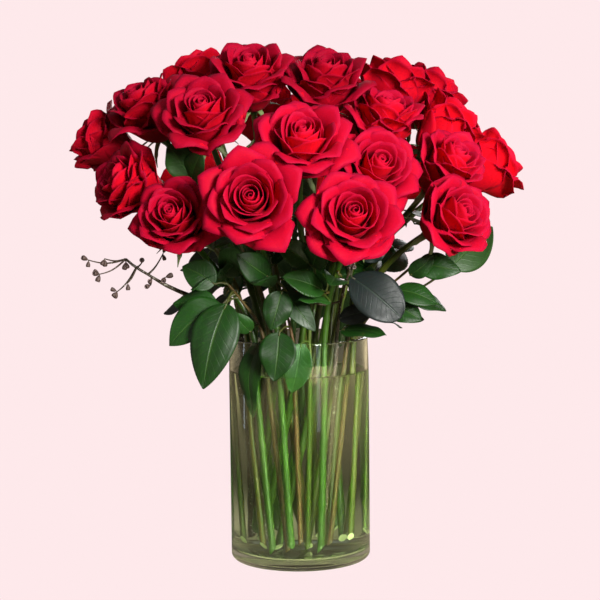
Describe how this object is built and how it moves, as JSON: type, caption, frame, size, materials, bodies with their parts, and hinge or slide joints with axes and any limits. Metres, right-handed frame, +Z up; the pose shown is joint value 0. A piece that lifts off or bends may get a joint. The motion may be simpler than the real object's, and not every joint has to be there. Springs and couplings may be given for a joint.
{
  "type": "roses in a vase",
  "caption": "Bouquet of open red roses with salal, rose-leaf and seeded eucalyptus greens, standing in a clear glass cylinder vase of water.",
  "frame": {"origin": "centre of the vase's underside", "axes": "+Z up, the front of the bouquet faces -Y, +X to the viewer's right"},
  "size_m": [0.3946, 0.3003, 0.4586],
  "materials": {
    "vase_glass": "clear polished glass, smooth, with a thick base",
    "water": "clear still water",
    "rose_petal": "soft velvety petal, darker and purplish at the edges and in the folds",
    "rose_stem": "satin green stem, brownish in places, with satin toothed leaves",
    "rose_leaf": "satin leaf with pale veins and a toothed edge",
    "salal_leaf": "glossy leathery leaf with a pale midrib",
    "eucalyptus_leaf": "matte grey-green leaf with a waxy bloom, brown pods"
  },
  "bodies": {
    "root": {"vase": "vase_glass", "water": "water", "rose_bloom_01": "rose_petal", "rose_bloom_02": "rose_petal", "rose_bloom_03": "rose_petal", "rose_bloom_04": "rose_petal", "rose_bloom_05": "rose_petal", "rose_bloom_06": "rose_petal", "rose_bloom_07": "rose_petal", "rose_bloom_08": "rose_petal", "rose_bloom_09": "rose_petal", "rose_bloom_10": "rose_petal", "rose_bloom_11": "rose_petal", "rose_bloom_12": "rose_petal", "rose_bloom_13": "rose_petal", "rose_bloom_14": "rose_petal", "rose_bloom_15": "rose_petal", "rose_bloom_16": "rose_petal", "rose_bloom_17": "rose_petal", "rose_bloom_18": "rose_petal", "rose_bloom_19": "rose_petal", "rose_bloom_20": "rose_petal", "rose_bloom_21": "rose_petal", "rose_bloom_22": "rose_petal", "rose_bloom_23": "rose_petal", "rose_bloom_24": "rose_petal", "rose_stem_01": "rose_stem", "rose_stem_02": "rose_stem", "rose_stem_03": "rose_stem", "rose_stem_04": "rose_stem", "rose_stem_05": "rose_stem", "rose_stem_06": "rose_stem", "rose_stem_07": "rose_stem", "rose_stem_08": "rose_stem", "rose_stem_09": "rose_stem", "rose_stem_10": "rose_stem", "rose_stem_11": "rose_stem", "rose_stem_12": "rose_stem", "rose_stem_13": "rose_stem", "rose_stem_14": "rose_stem", "rose_stem_15": "rose_stem", "rose_stem_16": "rose_stem", "rose_stem_17": "rose_stem", "rose_stem_18": "rose_stem", "rose_stem_19": "rose_stem", "rose_stem_20": "rose_stem", "rose_stem_21": "rose_stem", "rose_stem_22": "rose_stem", "rose_stem_23": "rose_stem", "rose_stem_24": "rose_stem", "salal_front_left": "salal_leaf", "salal_front": "salal_leaf", "rose_leaf_spray": "rose_leaf", "eucalyptus_front": "eucalyptus_leaf", "salal_front_right": "salal_leaf", "salal_right": "salal_leaf", "salal_back_right": "salal_leaf", "eucalyptus_back": "eucalyptus_leaf", "seeded_eucalyptus_left": "eucalyptus_leaf", "salal_crown_left": "salal_leaf"}
  },
  "joints": []
}
